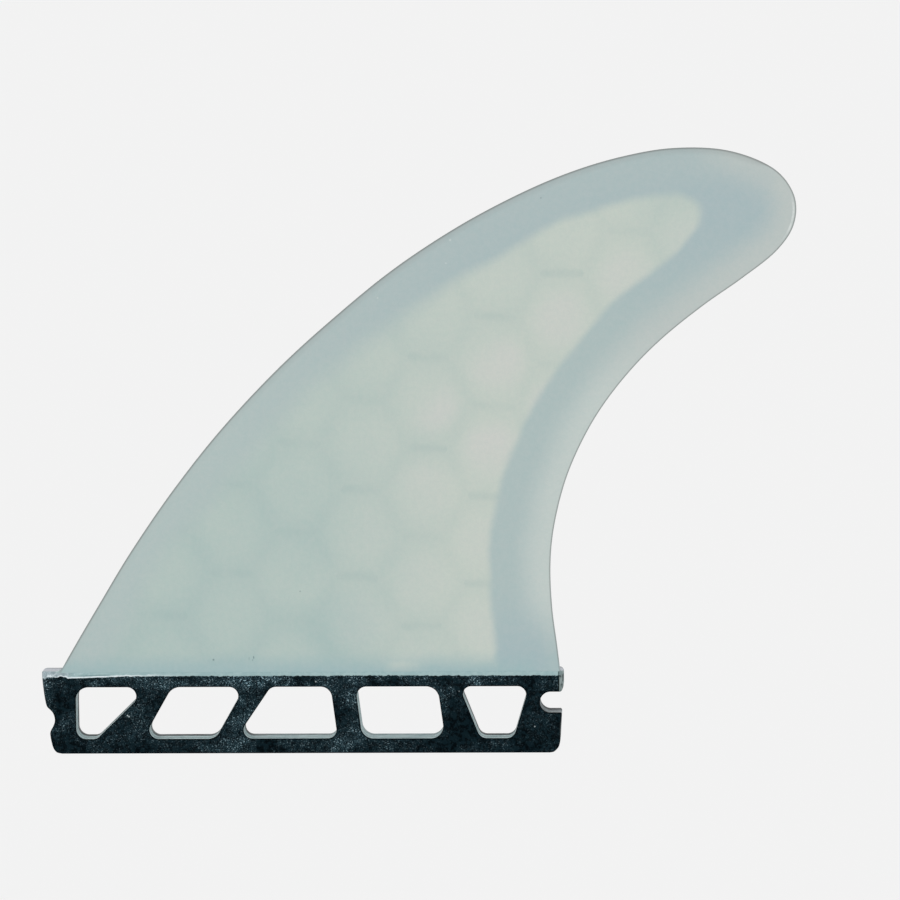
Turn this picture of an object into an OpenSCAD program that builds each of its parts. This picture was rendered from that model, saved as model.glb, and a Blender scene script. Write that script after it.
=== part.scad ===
// Side fin for a surfboard: a swept foil blade on a flat base tab.
// Millimetres. +Z runs up the blade, +X towards the trailing edge,
// and the flat face of the blade looks along -Y.
// The origin is the middle of the underside of the base tab.

/* [Base tab] */
// Length of the tab along the board
tab_len = 118.4; // [118:0.2:119.4]
// Height of the tab, from its underside to the ledge
tab_h = 18.7; // [18.3:0.1:19.1]
// Thickness of the tab
tab_t = 7; // [6.8:0.1:7.4]
// Bevel along the two top edges of the tab
tab_bevel = 0.5; // [0.3:0.1:0.7]
// Height of the pin notch in the rear end
notch_h = 4.8; // [4.2:0.2:5.2]
// Depth from the rear end to the bottom of the notch
notch_depth = 5.4; // [5:0.2:6.2]

/* [Blade] */
// Greatest thickness of the foil at the root
blade_t = 6.2; // [5.9:0.1:6.3]
// Greatest thickness of the foil near the tip
tip_t = 1.8; // [1.7:0.1:2.4]
// Thickness of the trailing edge
trail_t = 0.8; // [0.6:0.1:1]
// Forward flare at the foot of the leading edge
nose_flare = 1.2; // [0.8:0.1:1.4]

/* [Core] */
// Thickness of the honeycomb sheet inside the blade
core_t = 1.2; // [0.8:0.1:1.2]
// Laminate between the flat face and the honeycomb
skin_t = 0.5; // [0.4:0.1:0.5]
// Wall thickness of the honeycomb cells
cell_wall = 1.4; // [1:0.1:1.8]
// Spacing of the columns of cells
cell_dx = 14.4; // [13:0.2:15.6]
// Spacing of the cells up a column
cell_dz = 20.2; // [18:0.2:22]

/* [Show] */
// Which piece to draw

/* [Hidden] */

laminate_color = [0.67, 0.74, 0.72];
core_color = [0.80, 0.81, 0.77];

eps = 0.01;
tab_x = tab_len / 2;
lift = tab_h - 18.5;             // the blade rides on the ledge
face_y = -tab_t / 2 + 0.15;      // flat face of the blade
core_y = face_y + skin_t;        // near side of the honeycomb
fil = 0.45;                      // fillet at the foot of the foil
seg = 18;                        // points across the chord

// Leading edge of the blade, root to tip
lead = [[-56.2, 16], [-51.6, 24], [-45.6, 34], [-38.2, 46], [-28.4, 60],
        [-17.1, 74], [-3.7, 88], [9.8, 100], [22.4, 110], [36.3, 119],
        [49.6, 126], [61.5, 131], [73.1, 134.4], [84.5, 136.2], [96.4, 135.6]];
// Tip
tip = [106.4, 131.7];
// Trailing edge, root to tip, one point for each leading edge point
trail = [[58.7, 16], [57.8, 24], [56.7, 33], [56.4, 43], [57.4, 52],
         [60, 62], [63.9, 71], [68.7, 79], [75.1, 87], [82.2, 94],
         [91, 101], [99.6, 107], [107.2, 113], [111.2, 119], [111.2, 125.7]];
n = len(lead);

// Outline of the honeycomb sheet, clockwise from the rear foot
core_pts = [[44.2, 19.2], [43.2, 30], [42.3, 44], [44.3, 57], [48.1, 68.7], [53.6, 79.2],
            [60, 88.7], [68.5, 99.5], [80.2, 109], [88.4, 115.5], [91, 120.2],
            [90.3, 124.2], [86, 126.2], [79, 125.7], [67.7, 123], [57.2, 119.5],
            [44.9, 112], [33.4, 105.3], [22.4, 97.7], [11, 89.6], [-0.5, 80],
            [-11.3, 67.7], [-22.5, 55], [-32, 43.5], [-39, 30], [-44.4, 19.2]];

// Window corners in the tab, each with its corner radius
win1 = [[-51.3, 3.3, 2.3], [-46.7, 3.3, 2], [-34.5, 15.2, 2.1], [-51.3, 15.2, 2.9]];
win2 = [[-36.2, 3.3, 2.1], [-19.7, 3.3, 3], [-12.9, 15.2, 2.1], [-29.4, 15.2, 3.2]];
win3 = [[-15.1, 3.35, 2], [8, 3.35, 2], [6.5, 15.2, 2.6], [-7, 15.2, 2.2]];
win4 = [[13.6, 3.3, 2.9], [32.3, 3.3, 2.8], [30.7, 15.2, 3], [12.1, 15.2, 2.2]];
win5 = [[40.3, 3.3, 2.2], [47.8, 3.3, 2.2], [51.4, 15.2, 2], [35.6, 15.2, 1.8]];

// Smooth curve through a list of points, s counts the points
function spline(p, s) =
    let (i = max(0, min(floor(s), len(p) - 2)), t = s - i,
         b = p[i], c = p[i + 1],
         a = i > 0 ? p[i - 1] : 2 * b - c,
         d = i + 2 < len(p) ? p[i + 2] : 2 * c - b)
    0.5 * (2 * b + (c - a) * t + (2 * a - 5 * b + 4 * c - d) * t * t
           + (3 * b - a - 3 * c + d) * t * t * t);

edge = [for (p = concat(lead, [tip], [for (i = [n - 1 : -1 : 0]) trail[i]])) p + [0, lift]];

// Height of the fillet curve above the ledge
function foot(z, r) = z <= tab_h ? r : z >= tab_h + r ? 0
    : r - sqrt(r * r - (r - (z - tab_h)) * (r - (z - tab_h)));

// Stations up the blade: close together at the foot and round the tip
stations = concat([0.1, 0.3125, 0.33, 0.355, 0.39, 0.43, 0.49, 0.65],
                  [for (k = [4 : 4 * (n - 1)]) k / 4],
                  [for (f = [0.25, 0.45, 0.62, 0.76, 0.87, 0.95]) n - 1 + f]);

// The leading edge thins over the last part of the tip
function thin(s) = s < n - 1.6 ? 1 : sqrt(max(0, 1 - pow((s - n + 1.6) / 1.6, 2)));
function bulge(s) = thin(s) * (tip_t - trail_t / 3
    + (blade_t - tip_t) * pow(max(0, 1 - s / n), 0.85));
function share(j) = (1 - cos(180 * j / seg)) / 2;
function foil(s, f) = bulge(s) * 2.598 * sqrt(f) * (1 - f) + trail_t * f;
function nose(f, chord) = 0.4 * pow(max(0, 1 - f * chord / 1.4), 2);

function blade_point(s, j, front) =
    let (l0 = spline(edge, s), r = spline(edge, 2 * n - s),
         l = [l0[0] - foot(l0[1], nose_flare), l0[1]],
         chord = norm(r - l), f = share(j), p = l + (r - l) * f,
         y = face_y + nose(f, chord)
             + (front ? 0 : foil(s, f) + foot(p[1], fil) * min(1, 4 * f)))
    [p[0], y, p[1]];

function section(s) = concat([for (j = [0 : seg]) blade_point(s, j, false)],
                             [for (j = [seg : -1 : 1]) blade_point(s, j, true)]);

m = 2 * seg + 1;

module blade() {
    pts = [for (s = stations) each section(s)];
    last = len(stations) - 1;
    polyhedron(points = pts, faces = concat(
        [[for (k = [m - 1 : -1 : 0]) k]],
        [[for (k = [0 : m - 1]) last * m + k]],
        [for (i = [0 : last - 1]) for (k = [0 : m - 1])
            let (a = i * m + k, b = i * m + (k + 1) % m)
            each [[a, b, b + m], [a, b + m, a + m]]]));
}

// Corners of a polygon rounded with arcs
function arc_corner(p, i) =
    let (c = len(p), v = p[i], a = p[(i + c - 1) % c], b = p[(i + 1) % c],
         o = [v[0], v[1]],
         u = ([a[0], a[1]] - o) / norm([a[0], a[1]] - o),
         w = ([b[0], b[1]] - o) / norm([b[0], b[1]] - o),
         half = acos(u * w) / 2, mid = (u + w) / norm(u + w),
         q = o + mid * v[2] / sin(half),
         g = -mid, h = [-g[1], g[0]],
         side = (u * h) > 0 ? 1 : -1)
    [for (k = [-4 : 4]) let (e = k / 4 * (90 - half))
        q + v[2] * (g * cos(e) - h * side * sin(e))];

module rounded(p) {
    polygon([for (i = [0 : len(p) - 1]) each arc_corner(p, i)]);
}

// Draws a flat shape in the plane of the fin, from y = y0 back by t
module upright(y0, t) {
    translate([0, y0 + t, 0]) rotate([90, 0, 0]) linear_extrude(height = t) children();
}

module tab_side() {
    difference() {
        polygon([[-tab_x + 0.4, tab_h], [-tab_x + 0.15, tab_h - 0.2], [-tab_x + 0.03, tab_h - 0.6],
                 [-tab_x, tab_h - 1.2], [-tab_x + 0.1, 16.8], [-tab_x + 0.4, 15],
                 [-tab_x + 0.75, 13], [-tab_x + 1.25, 11], [-tab_x + 1.7, 10.4],
                 [-tab_x + 2.4, 9.7], [-tab_x + 2.8, 9], [-tab_x + 3, 8.3],
                 [-tab_x + 3.05, 7.6], [-tab_x + 2.9, 6.9], [-tab_x + 2.6, 6.2],
                 [-tab_x + 2.25, 5.6], [-tab_x + 2, 5], [-tab_x + 1.95, 4.4],
                 [-tab_x + 2.1, 3.3], [-tab_x + 2.35, 2.1], [-tab_x + 2.6, 1.3],
                 [-tab_x + 3.05, 0.6], [-tab_x + 3.6, 0.2], [-tab_x + 4.6, 0],
                 [tab_x - 3.3, 0], [tab_x - 2.4, 0.15], [tab_x - 1.8, 0.6],
                 [tab_x - 1.3, 1.2], [tab_x - 1.05, 1.8], [tab_x - 0.85, 2.7],
                 [tab_x - 0.5, 8.8], [tab_x - 0.5, 14], [tab_x - 0.35, 14.2],
                 [tab_x - 0.15, 14.7], [tab_x, 15.6], [tab_x, tab_h - 0.35],
                 [tab_x - 0.5, tab_h - 0.12], [tab_x - 1.4, tab_h]]);
        rounded(win1);
        rounded(win2);
        rounded(win3);
        rounded(win4);
        rounded(win5);
    }
}

// Plan of the tab with its two ends rounded across the thickness
module tab_plan() {
    intersection() {
        square([tab_len + 2, tab_t], center = true);
        union() {
            translate([-tab_x + 6, 0]) circle(r = 6, $fn = 96);
            translate([tab_x - 8, 0]) circle(r = 8, $fn = 96);
            translate([-tab_x + 6, -6]) square([tab_len - 14, 12]);
        }
    }
}

module tab() {
    difference() {
        intersection() {
            upright(-tab_t / 2 - 1, tab_t + 2) tab_side();
            translate([0, 0, -1]) linear_extrude(height = tab_h + 2) tab_plan();
            rotate([90, 0, 90]) translate([0, 0, -tab_len]) linear_extrude(height = 2 * tab_len)
                polygon([[-tab_t / 2, -1], [tab_t / 2, -1], [tab_t / 2, tab_h - tab_bevel],
                         [tab_t / 2 - tab_bevel, tab_h], [-tab_t / 2 + tab_bevel, tab_h],
                         [-tab_t / 2, tab_h - tab_bevel]]);
        }
        // Pin notch in the rear end
        translate([tab_x - notch_depth + notch_h / 2, -tab_t, 11.5]) rotate([-90, 0, 0])
            cylinder(h = 2 * tab_t, r = notch_h / 2, $fn = 64);
        translate([tab_x - notch_depth + notch_h / 2, -tab_t, 11.5 - notch_h / 2])
            cube([notch_depth, 2 * tab_t, notch_h]);
    }
}

core_edge = [for (i = [0 : len(core_pts) - 2]) for (t = [0, 0.5]) spline(core_pts, i + t) + [0, lift]];

module core_outline() {
    polygon(concat(core_edge, [core_pts[len(core_pts) - 1] + [0, lift]]));
}

// One honeycomb cell
module cell() {
    k = 1 - cell_wall / 18;
    a = cell_dx * k * 2 / 3;
    b = cell_dz * k / 2;
    polygon([[a, 0], [a / 2, b], [-a / 2, b], [-a, 0], [-a / 2, -b], [a / 2, -b]]);
}

module fin_body() {
    color(laminate_color) difference() {
        union() {
            tab();
            blade();
        }
        upright(core_y, core_t) core_outline();
    }
}

module honeycomb_core() {
    color(core_color) upright(core_y, core_t) difference() {
        core_outline();
        translate([28.8, 69.2 + lift]) rotate(-2.5)
            for (i = [-6 : 5]) for (j = [-5 : 4])
                translate([i * cell_dx, (j + 0.5 + (i % 2 == 0 ? 0 : 0.5)) * cell_dz]) cell();
    }
}

fin_body();
honeycomb_core();
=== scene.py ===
import math

import bpy
import numpy as np
from mathutils import Matrix, Vector
from mathutils.geometry import delaunay_2d_cdt


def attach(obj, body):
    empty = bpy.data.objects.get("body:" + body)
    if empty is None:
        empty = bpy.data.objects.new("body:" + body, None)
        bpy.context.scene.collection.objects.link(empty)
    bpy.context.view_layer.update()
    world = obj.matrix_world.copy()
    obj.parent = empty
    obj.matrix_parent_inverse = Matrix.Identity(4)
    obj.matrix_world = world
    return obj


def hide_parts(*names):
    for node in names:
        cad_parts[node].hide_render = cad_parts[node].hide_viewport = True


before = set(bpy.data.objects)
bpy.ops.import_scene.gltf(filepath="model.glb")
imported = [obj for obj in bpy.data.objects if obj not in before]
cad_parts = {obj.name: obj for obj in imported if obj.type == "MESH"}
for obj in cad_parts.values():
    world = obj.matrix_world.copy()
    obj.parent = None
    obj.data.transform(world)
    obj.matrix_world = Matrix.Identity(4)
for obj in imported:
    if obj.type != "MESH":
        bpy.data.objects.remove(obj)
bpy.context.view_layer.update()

MM = 0.001

# ---------------------------------------------------------------- outlines, in mm
TAB_X, TAB_H, TAB_T = 59.2, 18.7, 7.0
LIFT = 0.2
FACE_Y = -TAB_T / 2 + 0.15
BLADE_T, TIP_T, TRAIL_T = 6.2, 1.8, 0.8

LEAD = [(-56.2, 16), (-51.6, 24), (-45.6, 34), (-38.2, 46), (-28.4, 60),
        (-17.1, 74), (-3.7, 88), (9.8, 100), (22.4, 110), (36.3, 119),
        (49.6, 126), (61.5, 131), (73.1, 134.4), (84.5, 136.2), (96.4, 135.6)]
TIP = (106.4, 131.7)
TRAIL = [(58.7, 16), (57.8, 24), (56.7, 33), (56.4, 43), (57.4, 52),
         (60, 62), (63.9, 71), (68.7, 79), (75.1, 87), (82.2, 94),
         (91, 101), (99.6, 107), (107.2, 113), (111.2, 119), (111.2, 125.7)]
N = len(LEAD)
EDGE = np.array(LEAD + [TIP] + TRAIL[::-1], float) + (0, LIFT)
CORE = np.array([(44.2, 19.2), (43.2, 30), (42.3, 44), (44.3, 57), (48.1, 68.7), (53.6, 79.2),
                 (60, 88.7), (68.5, 99.5), (80.2, 109), (88.4, 115.5), (91, 120.2),
                 (90.3, 124.2), (86, 126.2), (79, 125.7), (67.7, 123), (57.2, 119.5),
                 (44.9, 112), (33.4, 105.3), (22.4, 97.7), (11, 89.6), (-0.5, 80),
                 (-11.3, 67.7), (-22.5, 55), (-32, 43.5), (-39, 30), (-44.4, 19.2)], float) + (0, LIFT)
WINDOWS = [
    [(-51.3, 3.3, 2.3), (-46.7, 3.3, 2), (-34.5, 15.2, 2.1), (-51.3, 15.2, 2.9)],
    [(-36.2, 3.3, 2.1), (-19.7, 3.3, 3), (-12.9, 15.2, 2.1), (-29.4, 15.2, 3.2)],
    [(-15.1, 3.35, 2), (8, 3.35, 2), (6.5, 15.2, 2.6), (-7, 15.2, 2.2)],
    [(13.6, 3.3, 2.9), (32.3, 3.3, 2.8), (30.7, 15.2, 3), (12.1, 15.2, 2.2)],
    [(40.3, 3.3, 2.2), (47.8, 3.3, 2.2), (51.4, 15.2, 2), (35.6, 15.2, 1.8)],
]
NOTCH_H, NOTCH_DEPTH, NOTCH_Z = 4.8, 5.4, 11.5

# specks on the blade: x, z, full radius, outer radius, stretch in x and z, strength, colour
SPECKS = [(-19.91, 21.44, 0.12, 0.30, 1, 1, 0.75, (104, 128, 128)),
          (-10.80, 21.95, 0.10, 0.26, 1.3, 0.55, 0.75, (100, 126, 128)),
          (-11.05, 21.35, 0.08, 0.24, 1.3, 0.7, 0.5, (116, 140, 142)),
          (-11.85, 21.7, 0.08, 0.30, 1.5, 0.6, 0.35, (120, 146, 148)),
          (-0.1, 37.0, 0.08, 0.24, 1, 1, 0.6, (120, 140, 140)),
          (54.85, 125.5, 0.08, 0.24, 1, 1, 0.6, (124, 140, 142)),
          (34.5, 116.2, 0.10, 0.35, 1, 1, 0.5, (214, 220, 218)),
          (33.5, 111.0, 0.10, 0.30, 1, 1, 0.4, (210, 218, 216)),
          (18.1, 103.3, 0.10, 0.30, 1, 1, 0.4, (208, 216, 214))]


def spline(p, s):
    p = np.asarray(p, float)
    i = int(max(0, min(math.floor(s), len(p) - 2)))
    t = s - i
    b, c = p[i], p[i + 1]
    a = p[i - 1] if i > 0 else 2 * b - c
    d = p[i + 2] if i + 2 < len(p) else 2 * c - b
    return 0.5 * (2 * b + (c - a) * t + (2 * a - 5 * b + 4 * c - d) * t * t
                  + (3 * b - a - 3 * c + d) * t ** 3)


def foot(z, r):
    if z <= TAB_H:
        return r
    if z >= TAB_H + r:
        return 0.0
    return r - math.sqrt(r * r - (r - (z - TAB_H)) ** 2)


def distance(points, loop, closed=True):
    """Distance from each point to a polyline."""
    a = loop
    b = np.roll(loop, -1, axis=0)
    if not closed:
        a, b = a[:-1], b[:-1]
    out = np.full(len(points), 1e9)
    for p, q in zip(a, b):
        d = q - p
        ll = max(float(d @ d), 1e-12)
        t = np.clip(((points - p) @ d) / ll, 0, 1)
        out = np.minimum(out, np.hypot(*(points - p - t[:, None] * d).T))
    return out


def inside(points, loop):
    x, y = points[:, 0], points[:, 1]
    res = np.zeros(len(points), bool)
    for p, q in zip(loop, np.roll(loop, -1, axis=0)):
        cross = (p[1] > y) != (q[1] > y)
        with np.errstate(divide="ignore", invalid="ignore"):
            xx = (q[0] - p[0]) * (y - p[1]) / (q[1] - p[1]) + p[0]
        res ^= cross & (x < xx)
    return res


# ---------------------------------------------------------------- blade
SEG = 56


def bulge(s):
    thin = 1.0 if s < N - 1.6 else math.sqrt(max(0.0, 1 - ((s - N + 1.6) / 1.6) ** 2))
    return thin * (TIP_T - TRAIL_T / 3 + (BLADE_T - TIP_T) * max(0.0, 1 - s / N) ** 0.85)


def foil(s, f):
    return bulge(s) * 2.598 * math.sqrt(f) * (1 - f) + TRAIL_T * f


def half_round(d, r):
    if d >= r:
        return 0.0
    return r - math.sqrt(max(0.0, r * r - (r - d) ** 2))


def blade_ring(s):
    left, right = spline(EDGE, s), spline(EDGE, 2 * N - s)
    left = np.array([left[0] - foot(left[1], 1.2), left[1]])
    chord = float(np.hypot(*(right - left)))
    back, front = [], []
    for j in range(SEG + 1):
        f = (1 - math.cos(math.pi * j / SEG)) / 2
        p = left + (right - left) * f
        nose = 0.4 * max(0.0, 1 - f * chord / 1.4) ** 2
        trail = half_round((1 - f) * chord, 0.3) if s < N - 0.3 else 0.0
        y = FACE_Y + nose
        th = foil(s, f)
        back.append((p[0], y + th - min(trail, th / 2.2) + foot(p[1], 0.45) * min(1, 4 * f), p[1], th, f))
        front.append((p[0], y + min(trail, th / 2.2), p[1], th, f))
    return back + front[:0:-1]


stations = [0.1, 0.2, 0.3, 0.3125, 0.3245, 0.3385, 0.3555, 0.3725, 0.3975, 0.4225, 0.4525, 0.4925, 0.5425, 0.6125, 0.7, 0.8, 0.9]
stations += [k / 8 for k in range(8, 8 * (N - 1) + 1)]
stations += [N - 1 + f for f in (0.12, 0.24, 0.36, 0.47, 0.57, 0.66, 0.74, 0.81, 0.87, 0.92, 0.955, 0.98)]

rings = [blade_ring(s) for s in stations]
m = len(rings[0])
verts = [v[:3] for r in rings for v in r]
thick = [v[3] for r in rings for v in r]
share = [v[4] for r in rings for v in r]
faces, face_mat = [], []
faces.append(tuple(range(m)))
faces.append(tuple(reversed(range(len(verts) - m, len(verts)))))
face_mat += [0, 0]
for i in range(len(rings) - 1):
    for k in range(m):
        a, b = i * m + k, i * m + (k + 1) % m
        faces.append((a, a + m, b + m, b))
        face_mat.append(0)
n_blade = len(verts)

# ---------------------------------------------------------------- base tab


def arc_corner(p, i, steps=8):
    c = len(p)
    v, a, b = p[i], p[(i - 1) % c], p[(i + 1) % c]
    o = np.array(v[:2], float)
    u = np.array(a[:2], float) - o
    u /= np.hypot(*u)
    w = np.array(b[:2], float) - o
    w /= np.hypot(*w)
    half = math.acos(float(u @ w)) / 2
    mid = (u + w) / np.hypot(*(u + w))
    q = o + mid * v[2] / math.sin(half)
    g = -mid
    h = np.array([-g[1], g[0]])
    side = 1 if float(u @ h) > 0 else -1
    out = []
    for k in range(-steps, steps + 1):
        e = k / steps * (math.pi / 2 - half)
        out.append(q + v[2] * (g * math.cos(e) - h * side * math.sin(e)))
    return out


def rounded(p):
    loop = np.array([x for i in range(len(p)) for x in arc_corner(p, i)])
    area = 0.5 * np.sum(loop[:, 0] * np.roll(loop[:, 1], -1) - np.roll(loop[:, 0], -1) * loop[:, 1])
    return loop if area > 0 else loop[::-1]


X = TAB_X
corner = [(-X + 0.4, TAB_H), (-X + 0.15, TAB_H - 0.2), (-X + 0.03, TAB_H - 0.6)]
bite = [(-X, TAB_H - 1.2), (-X + 0.1, 16.8), (-X + 0.4, 15), (-X + 0.75, 13), (-X + 1.25, 11), (-X + 1.7, 10.4),
        (-X + 2.4, 9.7), (-X + 2.8, 9), (-X + 3, 8.3), (-X + 3.05, 7.6), (-X + 2.9, 6.9), (-X + 2.6, 6.2),
        (-X + 2.25, 5.6), (-X + 2, 5), (-X + 1.95, 4.4), (-X + 2.1, 3.3), (-X + 2.35, 2.1), (-X + 2.6, 1.3),
        (-X + 3.05, 0.6), (-X + 3.6, 0.2), (-X + 4.6, 0)]
smooth_bite = [spline(corner + bite, k / 3) for k in range(3 * (len(corner) + len(bite) - 1) + 1)]
heel = [(X - 3.3, 0), (X - 2.4, 0.15), (X - 1.8, 0.6), (X - 1.3, 1.2), (X - 1.05, 1.8), (X - 0.85, 2.7)]
smooth_heel = [spline(heel, k / 3) for k in range(3 * (len(heel) - 1) + 1)]
nr = NOTCH_H / 2
nx = X - NOTCH_DEPTH + nr
notch = [(X - 0.5, 8.7), (X - 0.55, 8.92), (X - 0.7, NOTCH_Z - nr)]
notch += [(nx + nr * math.cos(a), NOTCH_Z + nr * math.sin(a))
          for a in np.linspace(-math.pi / 2, -3 * math.pi / 2, 25)]
notch += [(X - 0.8, NOTCH_Z + nr), (X - 0.55, NOTCH_Z + nr + 0.06), (X - 0.35, 14.2), (X - 0.15, 14.7), (X, 15.6)]
crown = [(X, TAB_H - 0.35), (X - 0.2, TAB_H - 0.23), (X - 0.5, TAB_H - 0.12), (X - 0.9, TAB_H - 0.04), (X - 1.4, TAB_H)]
outer = [tuple(p) for p in smooth_bite] + [tuple(p) for p in smooth_heel] + notch + crown
outer = np.array(outer, float)


def fine(loop, step):
    """Loop with its long sides divided."""
    out = []
    for p, q in zip(loop, np.roll(loop, -1, axis=0)):
        k = max(1, int(math.ceil(np.hypot(*(q - p)) / step)))
        out += [p + (q - p) * j / k for j in range(k)]
    out = np.array(out)
    keep = np.hypot(*(out - np.roll(out, 1, axis=0)).T) > 1e-4
    return out[keep]


def offset(loop, d):
    """Counter-clockwise loop moved to its left by d."""
    a = loop - np.roll(loop, 1, axis=0)
    b = np.roll(loop, -1, axis=0) - loop
    a /= np.maximum(np.hypot(*a.T), 1e-9)[:, None]
    b /= np.maximum(np.hypot(*b.T), 1e-9)[:, None]
    t = a + b
    t /= np.maximum(np.hypot(*t.T), 1e-9)[:, None]
    nrm = np.stack([-t[:, 1], t[:, 0]], 1)
    c = np.maximum(np.sum(nrm * np.stack([-b[:, 1], b[:, 0]], 1), 1), 0.5)
    return loop + nrm * (d / c)[:, None]


outer = fine(outer, 2.0)
holes = [fine(rounded(w), 2.0) for w in WINDOWS]
ROUND = 0.2
RINGS = (0.0, 0.03, 0.09, 0.2, 0.4)
TOP = 0.45

pts, cons = [], []


def add_loop(loop):
    base = len(pts)
    pts.extend(map(tuple, loop))
    k = len(loop)
    cons.extend((base + i, base + (i + 1) % k) for i in range(k))


def add_line(p, q, steps):
    base = len(pts)
    for i in range(steps + 1):
        pts.append((p[0] + (q[0] - p[0]) * i / steps, p[1] + (q[1] - p[1]) * i / steps))
    cons.extend((base + i, base + i + 1) for i in range(steps))


for d in RINGS:
    add_loop(offset(outer, d))
    for h in holes:
        add_loop(offset(h, -d))
for dx in (0.04, 0.1, 0.2, 0.33, 0.5, 0.68, 0.88, 1.08, 1.2):
    add_line((-X + dx, -0.5), (-X + dx, TAB_H - 0.001), 14)
for dx in (0.04, 0.1, 0.2, 0.33, 0.48, 0.64, 0.81, 0.95):
    add_line((X - dx, -0.5), (X - dx, TAB_H - 0.001), 14)
for dz in (0.02, 0.07, 0.16, 0.28, 0.45, 0.6, 0.8, 1.0, 1.2):
    add_line((-X + 0.002, TAB_H - dz), (X - 0.002, TAB_H - dz), 60)

res = delaunay_2d_cdt([Vector(p) for p in pts], cons, [], 0, 1e-5)
flat = np.array([tuple(v) for v in res[0]])
tris = np.array([f for f in res[2] if len(f) == 3])
cen = flat[tris].mean(axis=1)
keep = inside(cen, outer)
for h in holes:
    keep &= ~inside(cen, h)
tris = tris[keep]
ta = flat[tris]
area = 0.5 * ((ta[:, 1, 0] - ta[:, 0, 0]) * (ta[:, 2, 1] - ta[:, 0, 1]) - (ta[:, 2, 0] - ta[:, 0, 0]) * (ta[:, 1, 1] - ta[:, 0, 1]))
tris = tris[np.abs(area) > 1e-9]
area = area[np.abs(area) > 1e-9]
tris[area < 0] = tris[area < 0][:, ::-1]

used = np.unique(tris)
index = -np.ones(len(flat), int)
index[used] = np.arange(len(used))
flat = flat[used]
tris = index[tris]

edge_d = distance(flat, outer)
for h in holes:
    edge_d = np.minimum(edge_d, distance(flat, h))
half = np.full(len(flat), TAB_T / 2)
x, z = flat[:, 0], flat[:, 1]
left_c, right_c = -X + 6, X - 8
half = np.where(x < left_c, np.minimum(half, np.sqrt(np.maximum(36 - (x - left_c) ** 2, 0))), half)
half = np.where(x > right_c, np.minimum(half, np.sqrt(np.maximum(64 - (x - right_c) ** 2, 0))), half)
# the long top edges are rounded over, more so at the front end
tops = [(-X, TAB_H - 1.2)] + corner[::-1] + crown[::-1]
top_z = np.interp(x, [c[0] for c in tops], [c[1] for c in tops])
ft = np.clip((-53.5 - x) / 4.0, 0, 1)
near_r = TOP + 0.65 * ft * ft * (3 - 2 * ft)


def rolled(h, r):
    """Half thickness h with the top edge rounded over by r."""
    dt = np.clip(top_z - z, 0, r)
    return np.minimum(h, TAB_T / 2 - (r - np.sqrt(np.maximum(r ** 2 - (r - dt) ** 2, 0))))


de = np.clip(edge_d, 0, ROUND)
rim = np.where(z > top_z - 0.01, 0, ROUND - np.sqrt(np.maximum(ROUND ** 2 - (ROUND - de) ** 2, 0)))
front_h = np.maximum(rolled(half, near_r) - rim, 0.02)
back_h = np.maximum(rolled(half, TOP) - rim, 0.02)

k0 = len(verts)
nf = len(flat)
verts += [(a, -h, b) for (a, b), h in zip(flat, front_h)]
verts += [(a, h, b) for (a, b), h in zip(flat, back_h)]
thick += [TAB_T] * (2 * nf)
count = {}
for t in tris:
    t = [int(v) for v in t]
    faces.append((k0 + t[0], k0 + t[1], k0 + t[2]))
    faces.append((k0 + nf + t[2], k0 + nf + t[1], k0 + nf + t[0]))
    face_mat += [1, 1]
    for a, b in ((t[0], t[1]), (t[1], t[2]), (t[2], t[0])):
        if (b, a) in count:
            del count[(b, a)]
        else:
            count[(a, b)] = True
# Walls are divided across the thickness so that their shading stays even
cuts = 6
wall_rows = {}


def wall_vert(i, c):
    if c == 0:
        return k0 + i
    if c == cuts:
        return k0 + nf + i
    key = (i, c)
    if key not in wall_rows:
        wall_rows[key] = len(verts)
        verts.append((flat[i][0], -front_h[i] + (front_h[i] + back_h[i]) * c / cuts, flat[i][1]))
        thick.append(TAB_T)
    return wall_rows[key]


for a, b in count:
    for c in range(cuts):
        faces.append((wall_vert(b, c), wall_vert(a, c), wall_vert(a, c + 1), wall_vert(b, c + 1)))
        face_mat.append(2)

cut_edge = np.full(len(verts), 9.0)
cut_edge[k0:k0 + nf] = edge_d
cut_edge[k0 + nf:k0 + 2 * nf] = edge_d

me = bpy.data.meshes.new("fin_body_skin")
me.from_pydata([tuple(c * MM for c in v) for v in verts], [], faces)
me.polygons.foreach_set("material_index", face_mat)
me.polygons.foreach_set("use_smooth", [True] * len(faces))
me.update()

P = np.array([(v[0], v[2]) for v in verts])
outline = np.array([spline(EDGE, s) for s in np.linspace(0, 2 * N, 30 * N + 1)])
core_loop = np.array([spline(CORE, s) for s in np.linspace(0, len(CORE) - 1, 6 * (len(CORE) - 1) + 1)])
core_sd = distance(P, core_loop) * np.where(inside(P, core_loop), 1, -1)
blade_d = distance(P, outline, closed=False)
share += [0.5] * (len(verts) - n_blade)
for name, vals in (("foil_thickness", thick), ("core_depth", core_sd), ("rim_distance", blade_d), ("chord_share", share), ("cut_edge", cut_edge)):
    at = me.attributes.new(name, "FLOAT", "POINT")
    at.data.foreach_set("value", np.asarray(vals, np.float32))
fin = bpy.data.objects.new("fin_body_skin", me)
bpy.context.scene.collection.objects.link(fin)
me.set_sharp_from_angle(angle=math.radians(42))

# ---------------------------------------------------------------- materials


def lin(r, g, b):
    return tuple((c / 255 / 12.92) if c / 255 <= 0.04045 else ((c / 255 + 0.055) / 1.055) ** 2.4 for c in (r, g, b)) + (1.0,)


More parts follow.
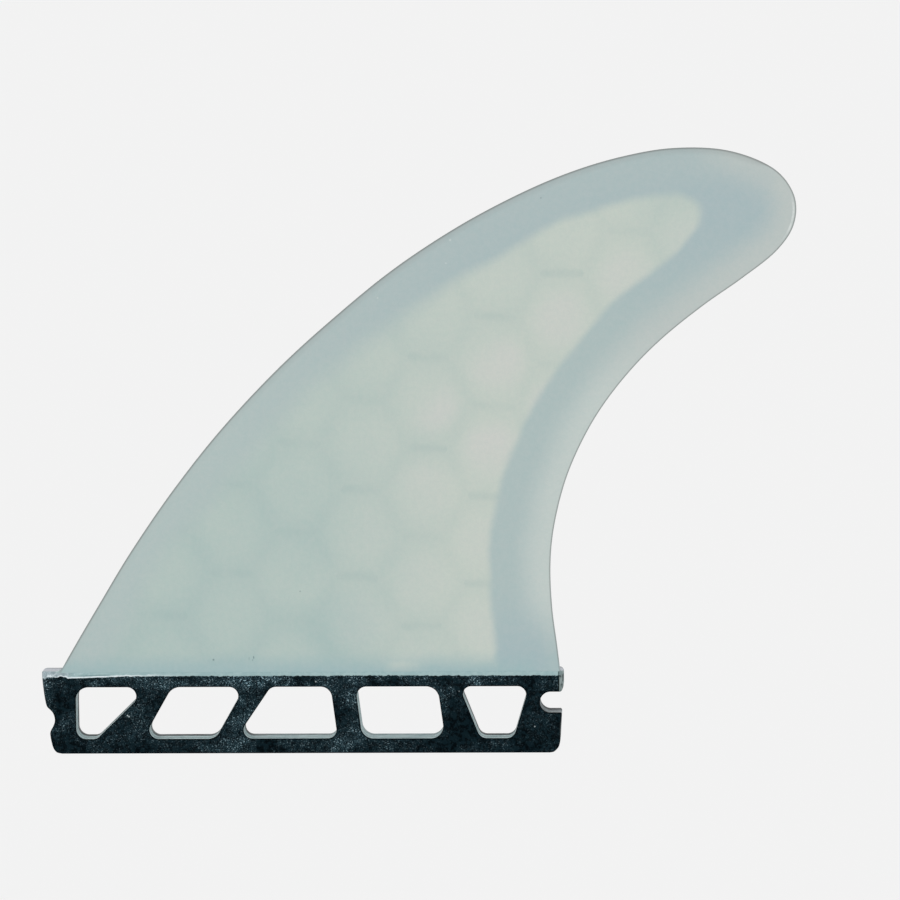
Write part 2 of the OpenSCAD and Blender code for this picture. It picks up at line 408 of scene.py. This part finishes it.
class Tree:
    def __init__(self, name):
        self.mat = bpy.data.materials.new(name)
        self.mat.use_nodes = True
        self.nt = self.mat.node_tree
        self.nt.nodes.clear()
        self.out = self.nt.nodes.new("ShaderNodeOutputMaterial")
        self.bsdf = self.nt.nodes.new("ShaderNodeBsdfPrincipled")
        self.nt.links.new(self.bsdf.outputs[0], self.out.inputs["Surface"])
        self.coord = self.nt.nodes.new("ShaderNodeTexCoord").outputs["Object"]
        sep = self.nt.nodes.new("ShaderNodeSeparateXYZ")
        self.nt.links.new(self.coord, sep.inputs[0])
        mm = [self.m("MULTIPLY", sep.outputs[i], 1000.0) for i in range(3)]
        self.x, self.y, self.z = mm

    def put(self, socket, v):
        if isinstance(v, bpy.types.NodeSocket):
            self.nt.links.new(v, socket)
        else:
            socket.default_value = v

    def m(self, op, a, b=None, c=None, clamp=False):
        nd = self.nt.nodes.new("ShaderNodeMath")
        nd.operation = op
        nd.use_clamp = clamp
        self.put(nd.inputs[0], a)
        if b is not None:
            self.put(nd.inputs[1], b)
        if c is not None:
            self.put(nd.inputs[2], c)
        return nd.outputs[0]

    def ramp(self, v, a, b, lo=0.0, hi=1.0, smooth=True):
        nd = self.nt.nodes.new("ShaderNodeMapRange")
        nd.interpolation_type = "SMOOTHSTEP" if smooth else "LINEAR"
        nd.clamp = True
        self.put(nd.inputs["Value"], v)
        nd.inputs["From Min"].default_value = a
        nd.inputs["From Max"].default_value = b
        nd.inputs["To Min"].default_value = lo
        nd.inputs["To Max"].default_value = hi
        return nd.outputs["Result"]

    def mix(self, f, a, b, mode="MIX"):
        nd = self.nt.nodes.new("ShaderNodeMix")
        nd.data_type = "RGBA"
        nd.blend_type = mode
        self.put(nd.inputs[0], f)
        self.put(nd.inputs[6], a)
        self.put(nd.inputs[7], b)
        return nd.outputs[2]

    def attr(self, name):
        nd = self.nt.nodes.new("ShaderNodeAttribute")
        nd.attribute_name = name
        return nd.outputs["Fac"]

    def noise(self, scale, detail=2.0, rough=0.5, stretch=None, shift=None, distort=0.0):
        vec = self.coord
        if stretch or shift:
            mp = self.nt.nodes.new("ShaderNodeMapping")
            self.nt.links.new(self.coord, mp.inputs[0])
            if stretch:
                mp.inputs["Scale"].default_value = stretch
            if shift:
                mp.inputs["Location"].default_value = shift
            vec = mp.outputs[0]
        nd = self.nt.nodes.new("ShaderNodeTexNoise")
        self.nt.links.new(vec, nd.inputs["Vector"])
        nd.inputs["Scale"].default_value = scale
        nd.inputs["Detail"].default_value = detail
        nd.inputs["Roughness"].default_value = rough
        nd.inputs["Distortion"].default_value = distort
        return nd.outputs["Fac"]

    def cells(self, scale):
        nd = self.nt.nodes.new("ShaderNodeTexVoronoi")
        self.nt.links.new(self.coord, nd.inputs["Vector"])
        nd.inputs["Scale"].default_value = scale
        return nd.outputs["Distance"]

    def bump(self, h, strength, dist=0.001, normal=None):
        nd = self.nt.nodes.new("ShaderNodeBump")
        nd.inputs["Strength"].default_value = strength
        nd.inputs["Distance"].default_value = dist
        self.put(nd.inputs["Height"], h)
        if normal is not None:
            self.put(nd.inputs["Normal"], normal)
        return nd.outputs[0]

    def near(self, cx, cz, r0, r1, kx=1.0, kz=1.0):
        """1 within r0 mm of a point, 0 beyond r1."""
        dx = self.m("MULTIPLY", self.m("SUBTRACT", self.x, cx), kx)
        dz = self.m("MULTIPLY", self.m("SUBTRACT", self.z, cz), kz)
        d = self.m("SQRT", self.m("ADD", self.m("MULTIPLY", dx, dx), self.m("MULTIPLY", dz, dz)))
        return self.ramp(d, r0, r1, 1.0, 0.0)


def hex_cells(t, jx, jz):
    """Place in the nearest honeycomb cell: 0 in its middle, 1 on its wall; and 1 where that wall is a level one."""
    px, pz = 14.4, 20.2
    a = math.radians(-2.5)
    x0 = t.m("SUBTRACT", t.m("ADD", t.x, jx), 28.8)
    z0 = t.m("SUBTRACT", t.m("ADD", t.z, jz), 69.2 + LIFT)
    u = t.m("ADD", t.m("MULTIPLY", x0, math.cos(a)), t.m("MULTIPLY", z0, math.sin(a)))
    v = t.m("ADD", t.m("MULTIPLY", x0, -math.sin(a)), t.m("MULTIPLY", z0, math.cos(a)))
    v = t.m("ADD", v, pz / 2)

    def local(du, dv):
        cu = t.m("SUBTRACT", t.m("FLOORED_MODULO", t.m("ADD", u, du + px), 2 * px), px)
        cv = t.m("SUBTRACT", t.m("FLOORED_MODULO", t.m("ADD", v, dv + pz / 2), pz), pz / 2)
        cu, cv = t.m("ABSOLUTE", cu), t.m("ABSOLUTE", cv)
        slant = t.m("ADD", t.m("MULTIPLY", cu, 1.5 / px), t.m("DIVIDE", cv, pz))
        level = t.m("MULTIPLY", cv, 2 / pz)
        rnd = t.m("SQRT", t.m("ADD", t.m("MULTIPLY", cu, cu), t.m("MULTIPLY", cv, cv)))
        return t.m("MAXIMUM", slant, level), t.m("GREATER_THAN", level, slant), rnd

    d1, l1, r1 = local(0, 0)
    d2, l2, r2 = local(px, pz / 2)
    first = t.m("LESS_THAN", d1, d2)
    second = t.m("SUBTRACT", 1.0, first)
    lev = t.m("ADD", t.m("MULTIPLY", l1, first), t.m("MULTIPLY", l2, second))
    return t.m("MINIMUM", d1, d2), lev, t.m("MINIMUM", r1, r2)


def near_zero(t, v, half, soft):
    """1 where v is within half of nothing, falling to 0 over soft."""
    return t.ramp(t.m("ABSOLUTE", v), half, half + soft, 1.0, 0.0)


# ---- blade laminate: glass cloth and resin, the core showing through as light and dark
t = Tree("blade_laminate")
thick_a, core_a, rim_a, share_a = (t.attr(n) for n in ("foil_thickness", "core_depth", "rim_distance", "chord_share"))
cloud = t.noise(42, 3, 0.55)
cloud_b = t.noise(95, 2, 0.5, shift=(3.1, 0, 1.7))
cloud_c = t.noise(70, 2, 0.5, shift=(9.2, 4.0, 6.7))
fine_n = t.noise(900, 3, 0.6)
grain = t.noise(2400, 2, 0.6)
weave = t.noise(620, 2, 0.6, shift=(2.0, 7.0, 1.0))

# laminate away from the core
band = t.mix(t.ramp(t.z, 92, 124), lin(174, 192, 191), lin(169, 188, 191))
band = t.mix(t.ramp(share_a, 0.55, 0.15), band, t.mix(t.ramp(t.z, 60, 125), lin(177, 194, 192), lin(172, 190, 191)))
side = t.m("MULTIPLY", t.ramp(share_a, 0.35, 0.8, 0.12, 1.0), t.ramp(t.z, 20, 36))
side = t.m("MAXIMUM", side, t.ramp(t.x, 84, 100, 0.0, 0.85))
rim_soft = t.m("ADD", rim_a, t.m("MULTIPLY", t.m("SUBTRACT", cloud_b, 0.5), 2.0))
band = t.mix(t.m("MULTIPLY", t.ramp(rim_soft, 1.5, 9.5, 1.0, 0.0), side), band, t.mix(t.ramp(t.z, 78, 100), lin(196, 207, 203), lin(190, 199, 196)))
blue = t.m("MULTIPLY", t.ramp(t.z, 19, 40, 0.85, 0.0), t.m("MULTIPLY", t.ramp(share_a, 0.8, 0.9), t.ramp(rim_a, 0.5, 5.0, 0.3, 1.0)))
band = t.mix(blue, band, lin(163, 185, 189))

# honeycomb
wob_x = t.m("MULTIPLY", t.m("SUBTRACT", t.noise(60, 1, 0.5), 0.5), 2.4)
wob_z = t.m("MULTIPLY", t.m("SUBTRACT", t.noise(60, 1, 0.5, shift=(7.0, 2.0, 5.0)), 0.5), 2.4)
hexd, level, hexr = hex_cells(t, wob_x, wob_z)
tint = t.m("ADD", t.m("MULTIPLY", share_a, 0.8869), t.m("MULTIPLY", t.z, 0.0064))
tint = t.m("ADD", tint, t.m("MULTIPLY", thick_a, -0.0907))
tint = t.m("ADD", tint, 0.1748 + 0.05)
tint = t.m("ADD", tint, t.m("MULTIPLY", t.m("SUBTRACT", cloud_c, 0.5), 0.5))
tint = t.m("SUBTRACT", tint, t.ramp(t.x, 66, 90, 0.0, 0.55))
tint = t.m("SUBTRACT", tint, t.m("MULTIPLY", t.near(9, 27, 3, 13), 0.35))
tint = t.m("SUBTRACT", tint, t.m("MULTIPLY", t.near(-1, 55, 6, 20), 0.15))
tint = t.m("MINIMUM", t.m("MAXIMUM", tint, 0.0), 1.0)
corec = t.mix(tint, lin(171, 193, 189), lin(198, 208, 199))
warm = t.m("MULTIPLY", t.ramp(hexr, 2.5, 8.5, 1.0, 0.0), t.ramp(share_a, 0.44, 0.60, 0.1, 1.0))
warm = t.m("MULTIPLY", warm, t.m("MULTIPLY", t.ramp(t.z, 60, 76, 0.3, 1.15), t.ramp(t.x, 50, 62, 1.0, 0.55)))
warm = t.m("MULTIPLY", warm, t.ramp(t.noise(55, 1, 0.5, shift=(2.0, 9.0, 3.0)), 0.34, 0.56, 0.55, 1.0))
warm = t.m("MULTIPLY", warm, t.ramp(t.z, 112, 124, 1.0, 0.3))
corec = t.mix(t.m("MULTIPLY", warm, 0.65), corec, lin(210, 209, 206))
blob = t.ramp(hexr, 4.5, 8.8, 1.0, 0.0)
corec = t.mix(t.m("MULTIPLY", blob, 0.07), corec, lin(214, 224, 210))
gap = t.ramp(hexd, 0.72, 1.0)
corec = t.mix(t.m("MULTIPLY", gap, 0.06), corec, lin(150, 180, 178))
dash = t.m("MULTIPLY", t.ramp(hexd, 0.85, 0.99), level)
dash = t.m("MULTIPLY", dash, t.ramp(cloud_b, 0.38, 0.58, 0.25, 1.0))
corec = t.mix(t.m("MULTIPLY", dash, 0.16), corec, lin(146, 174, 173))
width = t.m("MINIMUM", t.ramp(share_a, 0.25, 0.62, 4.2, 1.1), t.ramp(t.z, 92, 116, 4.2, 1.5))
drawn = t.m("SUBTRACT", core_a, t.ramp(t.x, 85, 90, 0.0, 0.7))
drawn = t.m("SUBTRACT", drawn, t.m("MULTIPLY", near_zero(t, t.m("SUBTRACT", t.x, 57), 4.0, 9.0), t.ramp(share_a, 0.5, 0.3, 0.0, 0.3)))
inside_core = t.m("ADD", drawn, t.m("MULTIPLY", t.m("SUBTRACT", cloud_b, 0.5), 2.0))
inside_core = t.m("DIVIDE", inside_core, width)
inside_core = t.ramp(inside_core, -1.0, 1.0)
col = t.mix(inside_core, band, corec)

# foot of the blade: painted shade, darker towards the tab
foot_shade = t.ramp(t.m("ADD", t.z, t.m("MULTIPLY", t.m("SUBTRACT", cloud, 0.5), 4.0)), 18.5, 24.0, 0.85, 0.0)
foot_shade = t.m("MULTIPLY", foot_shade, t.ramp(t.x, 50.5, 54, 1.0, 0.35))
foot_shade = t.m("SUBTRACT", foot_shade, t.m("MULTIPLY", near_zero(t, t.m("SUBTRACT", t.x, 23), 1.5, 4.0), t.ramp(t.z, 21.5, 20, 0.0, 0.4)), clamp=True)
col = t.mix(foot_shade, col, lin(157, 186, 188))

# grain of the cloth, painted shade along the edges, a painted highlight near the tip, specks
col = t.mix(t.m("MULTIPLY", t.m("SUBTRACT", cloud, 0.35), 0.10), col, lin(196, 202, 200))
col = t.mix(t.ramp(weave, 0.35, 0.65, 0.0, 0.06), col, lin(214, 206, 204))
col = t.mix(t.ramp(fine_n, 0.35, 0.65, 0.0, 0.06), col, lin(136, 172, 174))
col = t.mix(t.ramp(grain, 0.35, 0.65, 0.0, 0.035), col, lin(110, 130, 130))
lead_f = t.ramp(share_a, 0.45, 0.25)
# painted shade along the leading edge, stronger towards the top
lead_edge_shade = t.m("MULTIPLY", t.ramp(rim_a, 0.4, 1.9, 1.0, 0.0), t.m("MULTIPLY", lead_f, t.ramp(t.z, 60, 110, 0.08, 0.30)))
col = t.mix(lead_edge_shade, col, lin(152, 157, 155))
# thin dark lines of painted shade just inside the outline, where the edge rounds away
rim_shade_line = t.m("MULTIPLY", t.ramp(rim_a, 0.12, 0.42, 1.0, 0.0), t.ramp(t.z, 19.0, 22, 0.4, 0.7))
col = t.mix(rim_shade_line, col, lin(122, 126, 125))
rim_shade_line = t.m("MULTIPLY", t.ramp(rim_a, 0.28, 0.62, 1.0, 0.0), t.m("MULTIPLY", lead_f, t.ramp(t.z, 19.5, 22, 0.05, 0.2)))
col = t.mix(rim_shade_line, col, lin(112, 116, 114))
glint = t.m("MULTIPLY", near_zero(t, t.m("SUBTRACT", rim_a, 0.62), 0.10, 0.22), t.near(110.6, 120.4, 2.0, 6.0))
col = t.mix(t.m("MULTIPLY", glint, t.ramp(weave, 0.35, 0.6, 0.25, 0.65)), col, lin(226, 231, 229))
flat_side = t.ramp(t.y, -2.8, -3.1)
for cx, cz, r0, r1, kx, kz, amount, c in SPECKS:
    col = t.mix(t.m("MULTIPLY", t.near(cx, cz, r0, r1, kx, kz), t.m("MULTIPLY", flat_side, amount)), col, lin(*c))
t.put(t.bsdf.inputs["Base Color"], col)
t.put(t.bsdf.inputs["Roughness"], t.ramp(fine_n, 0.3, 0.7, 0.36, 0.48))
t.bsdf.inputs["Specular IOR Level"].default_value = 0.35
t.put(t.bsdf.inputs["Normal"], t.bump(t.m("ADD", t.m("MULTIPLY", fine_n, 0.3), cloud), 0.08, 0.0006))
blade_mat = t.mat

# ---- dark textured coat on the tab's faces
t = Tree("tab_coat")
edge_a = t.attr("cut_edge")
g1 = t.noise(1300, 2, 0.6)
g2 = t.noise(2900, 2, 0.65, shift=(1.3, 4.0, 2.2))
g3 = t.noise(3500, 1, 0.5, shift=(5.3, 1.0, 8.2))
patch = t.noise(150, 3, 0.6)
patch_b = t.noise(330, 2, 0.5, shift=(0.3, 6.0, 4.4))
coat = t.mix(t.ramp(g1, 0.42, 0.58), lin(0, 6, 10), lin(10, 27, 33))
amount = t.m("ADD", t.ramp(t.z, 13.5, 16.5, 0.16, 0.42), t.m("MULTIPLY", near_zero(t, t.m("ADD", t.x, 12), 6.0, 9.0), 0.2))
amount = t.m("ADD", amount, t.m("MULTIPLY", near_zero(t, t.m("SUBTRACT", t.x, 10.5), 2.5, 3.0), 0.22))
amount = t.m("ADD", amount, t.m("MULTIPLY", near_zero(t, t.m("SUBTRACT", t.x, 35), 4.0, 4.0), t.ramp(t.z, 6, 11, 0.0, 0.18)))
amount = t.m("ADD", amount, t.ramp(t.x, -43, -49, 0.0, 0.10))
amount = t.m("MULTIPLY", amount, t.ramp(t.x, 44, 52, 1.0, 0.55))
amount = t.m("MULTIPLY", amount, t.ramp(patch, 0.38, 0.62, 0.12, 1.3))
amount = t.m("MULTIPLY", amount, t.ramp(patch_b, 0.36, 0.60, 0.4, 1.15))
vein = near_zero(t, t.m("SUBTRACT", g2, 0.5), 0.012, 0.024)
coat = t.mix(t.m("MULTIPLY", t.m("MULTIPLY", vein, amount), 0.95, clamp=True), coat, lin(100, 134, 146))
coat = t.mix(t.m("MULTIPLY", t.m("MULTIPLY", t.ramp(g3, 0.62, 0.68), amount), 1.2, clamp=True), coat, lin(158, 186, 196))
# painted shade: the coat darkens along the cut edges, where they round away
coat = t.mix(t.ramp(edge_a, 0.10, 0.36, 0.8, 0.0), coat, lin(0, 8, 12))
for cx, cz, amt in ((-39.6, 8.75, 0.8), (-39.25, 8.5, 0.8), (52.6, 6.0, 0.5), (35.6, 14.1, 0.25), (3.2, 16.4, 0.6)):
    coat = t.mix(t.m("MULTIPLY", t.near(cx, cz, 0.08, 0.24), amt), coat, lin(190, 204, 206))

# the coat stops below the ledge, with a ragged edge near the front end
line_z = t.m("ADD", t.ramp(t.x, -54, -40, 17.20, 17.68, smooth=False), t.ramp(t.x, -42, -30, 0.0, 0.08))
line_z = t.m("ADD", line_z, t.ramp(t.x, -53.6, -52.8, 0.42, 0.0))
line_z = t.m("ADD", line_z, t.ramp(t.x, -58.4, -57.5, -0.5, 0.0))
line_z = t.m("ADD", line_z, t.ramp(t.x, 10, 50, 0.0, -0.10))
rag = t.m("SUBTRACT", t.ramp(t.x, -54, -52, 1.5, 0.9), t.m("MULTIPLY", near_zero(t, t.m("ADD", t.x, 47.5), 4.0, 3.0), 0.6))
rag = t.m("MULTIPLY", t.m("SUBTRACT", t.noise(700, 3, 0.7), 0.5), rag)
over = t.m("ADD", t.m("SUBTRACT", t.z, line_z), rag)
bare = t.ramp(over, -0.08, 0.08)
strip_n = t.noise(800, 2, 0.6, shift=(4.0, 0.0, 9.0))
strip = t.mix(t.ramp(strip_n, 0.35, 0.65), lin(155, 182, 184), lin(166, 191, 192))
end_f = t.ramp(t.x, -51, -54.5)
front = t.mix(t.ramp(strip_n, 0.35, 0.65), lin(142, 158, 164), lin(160, 175, 180))
strip = t.mix(end_f, strip, front)
# painted highlight along the blade's foot fillet, at the front end
fillet_highlight = near_zero(t, t.m("SUBTRACT", t.m("ADD", t.x, 55.75), t.m("MULTIPLY", t.m("SUBTRACT", t.z, 18.35), 1.45)), 0.10, 0.28)
strip = t.mix(t.m("MULTIPLY", t.m("MULTIPLY", fillet_highlight, end_f), 0.6), strip, lin(196, 208, 212))
curl = t.noise(520, 2, 0.6, shift=(8.0, 1.0, 3.0))
shine = t.m("MULTIPLY", near_zero(t, t.m("SUBTRACT", over, 0.17), 0.09, 0.12), t.ramp(t.x, -24, -43, 0.0, 1.0))
shine = t.m("MULTIPLY", shine, t.ramp(strip_n, 0.30, 0.45, 0.6, 1.0))
shine = t.m("MULTIPLY", shine, t.ramp(t.m("SUBTRACT", curl, t.ramp(t.x, -53.6, -52.8, 0.0, -0.2)), 0.42, 0.50, 0.2, 1.0))
strip = t.mix(t.m("MULTIPLY", shine, 0.95), strip, lin(228, 238, 242))
wisp = t.m("MULTIPLY", near_zero(t, t.m("SUBTRACT", curl, 0.5), 0.015, 0.03), t.m("MULTIPLY", t.ramp(t.x, -44, -51), t.ramp(over, 0.0, 0.15)))
strip = t.mix(t.m("MULTIPLY", wisp, 0.35), strip, lin(206, 220, 226))
shade = t.m("MULTIPLY", near_zero(t, t.m("SUBTRACT", over, 0.48), 0.06, 0.12), t.m("MULTIPLY", t.ramp(t.x, -42.5, -45), t.ramp(t.x, -51.5, -50)))
strip = t.mix(t.m("MULTIPLY", shade, 0.6), strip, lin(92, 122, 127))
col = t.mix(bare, coat, strip)
# rubbed ends, and a painted highlight along the lower right edge
rub_n = t.noise(900, 3, 0.6, shift=(3.0, 3.0, 3.0))
wear_and_highlight = t.m("MULTIPLY", t.ramp(t.x, TAB_X - 1.15, TAB_X - 0.85), t.ramp(t.z, 13.4, 14.0))
col = t.mix(t.m("MULTIPLY", wear_and_highlight, t.ramp(rub_n, 0.38, 0.56, 0.55, 1.0)), col, t.mix(t.ramp(rub_n, 0.4, 0.6), lin(92, 104, 104), lin(138, 152, 151)))
seam = t.m("MULTIPLY", near_zero(t, t.m("SUBTRACT", t.x, TAB_X - 1.12), 0.05, 0.14), t.ramp(t.z, 13.4, 14.0))
col = t.mix(t.m("MULTIPLY", seam, 0.8), col, lin(14, 22, 20))
# painted highlight along the lower right edge
wear_and_highlight = t.m("MULTIPLY", t.ramp(t.x, TAB_X - 0.98, TAB_X - 0.78), t.ramp(t.z, 8.0, 4.5))
col = t.mix(t.m("MULTIPLY", wear_and_highlight, 0.6), col, lin(118, 124, 123))
wear_and_highlight = t.m("MULTIPLY", t.ramp(t.x, -TAB_X + 0.45, -TAB_X + 0.1), t.ramp(t.z, 14.5, 17.0))
col = t.mix(t.m("MULTIPLY", wear_and_highlight, 0.6), col, lin(92, 106, 116))
t.put(t.bsdf.inputs["Base Color"], col)
t.bsdf.inputs["Roughness"].default_value = 0.62
t.bsdf.inputs["Specular IOR Level"].default_value = 0.02
t.put(t.bsdf.inputs["Normal"], t.bump(t.m("ADD", g1, t.m("MULTIPLY", g2, 0.6)), 0.35, 0.0003))
coat_mat = t.mat

# ---- bare cut laminate: window walls, ledge and ends; the layers of cloth show as lines
t = Tree("cut_laminate")
ply = t.noise(700, 2, 0.6, stretch=(0.12, 1, 0.12))
c1 = t.noise(420, 3, 0.6)
c2 = t.noise(160, 2, 0.5, shift=(6.0, 2.0, 1.0))
wave = t.m("ADD", t.y, t.m("MULTIPLY", t.m("SUBTRACT", c2, 0.5), 1.6))
col = t.mix(t.ramp(ply, 0.36, 0.62), lin(126, 152, 154), lin(150, 173, 174))
mid = near_zero(t, t.m("ADD", wave, 1.5), 0.25, 0.6)
col = t.mix(t.m("MULTIPLY", mid, 0.55), col, lin(104, 128, 130))
pale = t.m("ADD", near_zero(t, t.m("ADD", wave, 2.7), 0.3, 0.5), near_zero(t, t.m("ADD", wave, 0.2), 0.3, 0.5))
col = t.mix(t.m("MULTIPLY", pale, 0.6, clamp=True), col, lin(182, 206, 208))
col = t.mix(t.ramp(c1, 0.35, 0.65, 0.0, 0.3), col, lin(128, 152, 156))
in_notch = t.ramp(t.x, 52.4, 52.8)
notch_c = t.mix(t.ramp(t.y, -2.2, -0.4), t.mix(t.ramp(t.x, 54, 56.5), lin(112, 128, 130), lin(140, 154, 156)), lin(88, 98, 104))
col = t.mix(t.m("MULTIPLY", in_notch, 0.9), col, notch_c)
rear = t.m("MULTIPLY", t.ramp(wave, 0.6, 1.2), t.ramp(c2, 0.38, 0.58, 1.0, 0.8))
dull = t.m("MULTIPLY", t.ramp(t.x, -14, -6, 0.0, 0.45), t.ramp(t.x, 31, 35, 1.0, 0.0))
dull = t.m("ADD", dull, t.m("MULTIPLY", near_zero(t, t.m("SUBTRACT", t.x, 21), 8.0, 3.0), 0.3))
rear = t.m("MULTIPLY", rear, t.m("SUBTRACT", 1.0, dull))
rear = t.m("MULTIPLY", rear, t.m("MAXIMUM", t.m("SUBTRACT", 1.0, in_notch), t.ramp(t.x, 53.4, 54.6)))
col = t.mix(rear, col, lin(6, 14, 16))
col = t.mix(t.m("MULTIPLY", in_notch, t.ramp(t.y, -2.1, -2.5)), col, lin(28, 38, 42))
col = t.mix(t.ramp(t.y, -2.9, -3.2, 0.0, 0.7), col, lin(30, 44, 48))
# ledge
led = t.mix(t.ramp(c1, 0.35, 0.65), lin(168, 173, 180), lin(178, 182, 189))
# darker towards the front: painted shade where the ledge rounds over
led = t.mix(t.ramp(t.y, -1.2, -2.4), led, lin(156, 170, 175))
led = t.mix(t.m("MULTIPLY", t.ramp(t.y, 1.5, 2.4), 0.95), led, t.mix(t.ramp(t.x, -57, -54), lin(138, 141, 145), lin(108, 112, 116)))
# painted highlight where the blade's nose fillet meets the ledge
nose = near_zero(t, t.m("ADD", t.m("ADD", t.x, 54.9), t.m("MULTIPLY", t.y, -0.26)), 0.10, 0.3)
led = t.mix(t.m("MULTIPLY", t.m("MULTIPLY", nose, t.ramp(t.y, 2.2, 1.2)), 0.6), led, lin(198, 209, 213))
col = t.mix(t.ramp(t.z, TAB_H - 0.5, TAB_H - 0.36), col, led)
t.put(t.bsdf.inputs["Base Color"], col)
t.put(t.bsdf.inputs["Roughness"], t.ramp(c1, 0.3, 0.7, 0.42, 0.6))
t.put(t.bsdf.inputs["Specular IOR Level"], t.ramp(t.m("MULTIPLY", rear, t.ramp(t.z, TAB_H - 0.5, TAB_H - 0.7)), 0.3, 1.0, 0.3, 0.10))
t.put(t.bsdf.inputs["Normal"], t.bump(c1, 0.25, 0.0003))
wall_mat = t.mat

for mt in (blade_mat, coat_mat, wall_mat):
    me.materials.append(mt)
me.polygons.foreach_set("material_index", face_mat)
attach(fin, "root")
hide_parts("fin_body")

# ---- honeycomb inside the blade
core_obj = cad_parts["honeycomb_core"]
t = Tree("honeycomb")
c1 = t.noise(500, 3, 0.6)
col = t.mix(t.ramp(c1, 0.3, 0.7), lin(196, 198, 188), lin(214, 216, 206))
t.put(t.bsdf.inputs["Base Color"], col)
t.put(t.bsdf.inputs["Roughness"], t.ramp(c1, 0.3, 0.7, 0.65, 0.8))
t.put(t.bsdf.inputs["Normal"], t.bump(c1, 0.3, 0.0003))
core_obj.data.materials.clear()
core_obj.data.materials.append(t.mat)

# ---------------------------------------------------------------- floor, light, camera
fl = bpy.data.meshes.new("floor")
R, rows, cols = 40.0, 24, 64
fv, ff = [(0, 0, -0.35)], []
for i in range(1, rows + 1):
    rr = R * (i / rows) ** 2.5
    for j in range(cols):
        a = 2 * math.pi * j / cols
        fv.append((rr * math.cos(a), rr * math.sin(a), -0.35))
for j in range(cols):
    ff.append((0, 1 + j, 1 + (j + 1) % cols))
for i in range(rows - 1):
    for j in range(cols):
        a, b = 1 + i * cols + j, 1 + i * cols + (j + 1) % cols
        ff.append((a, a + cols, b + cols, b))
fl.from_pydata(fv, [], ff)
floor = bpy.data.objects.new("floor", fl)
bpy.context.scene.collection.objects.link(floor)
t = Tree("floor_paint")
t.bsdf.inputs["Base Color"].default_value = (0.89, 0.89, 0.89, 1)
t.bsdf.inputs["Roughness"].default_value = 1.0
t.bsdf.inputs["Specular IOR Level"].default_value = 0.0
fl.materials.append(t.mat)

sc = bpy.context.scene
world = bpy.data.worlds.new("studio")
sc.world = world
world.use_nodes = True
bg = world.node_tree.nodes["Background"]
bg.inputs[0].default_value = (1, 1, 1, 1)
bg.inputs[1].default_value = 1.0
sc.view_settings.view_transform = "Standard"
sc.view_settings.look = "None"
sc.view_settings.exposure = 0.0
sc.view_settings.gamma = 1.0

AZ, EL, ROLL, DIST, FPX = math.radians(2.3), math.radians(6.8), math.radians(-0.54), 1.2, 5345.0
aim = Vector((0.0340325, -0.0035, 0.0689526))
back = Vector((math.sin(AZ) * math.cos(EL), -math.cos(AZ) * math.cos(EL), math.sin(EL)))
fwd = -back
right = fwd.cross(Vector((0, 0, 1))).normalized()
up = right.cross(fwd)
r2 = right * math.cos(ROLL) + up * math.sin(ROLL)
u2 = -right * math.sin(ROLL) + up * math.cos(ROLL)
cd = bpy.data.cameras.new("camera")
cam = bpy.data.objects.new("camera", cd)
sc.collection.objects.link(cam)
cd.sensor_width = 36.0
cd.lens = 36.0 * FPX / 900
cd.clip_start, cd.clip_end = 0.01, 200
rot = Matrix((r2, u2, back)).transposed().to_4x4()
rot.translation = aim + back * DIST
cam.matrix_world = rot
sc.camera = cam

bpy.context.view_layer.update()
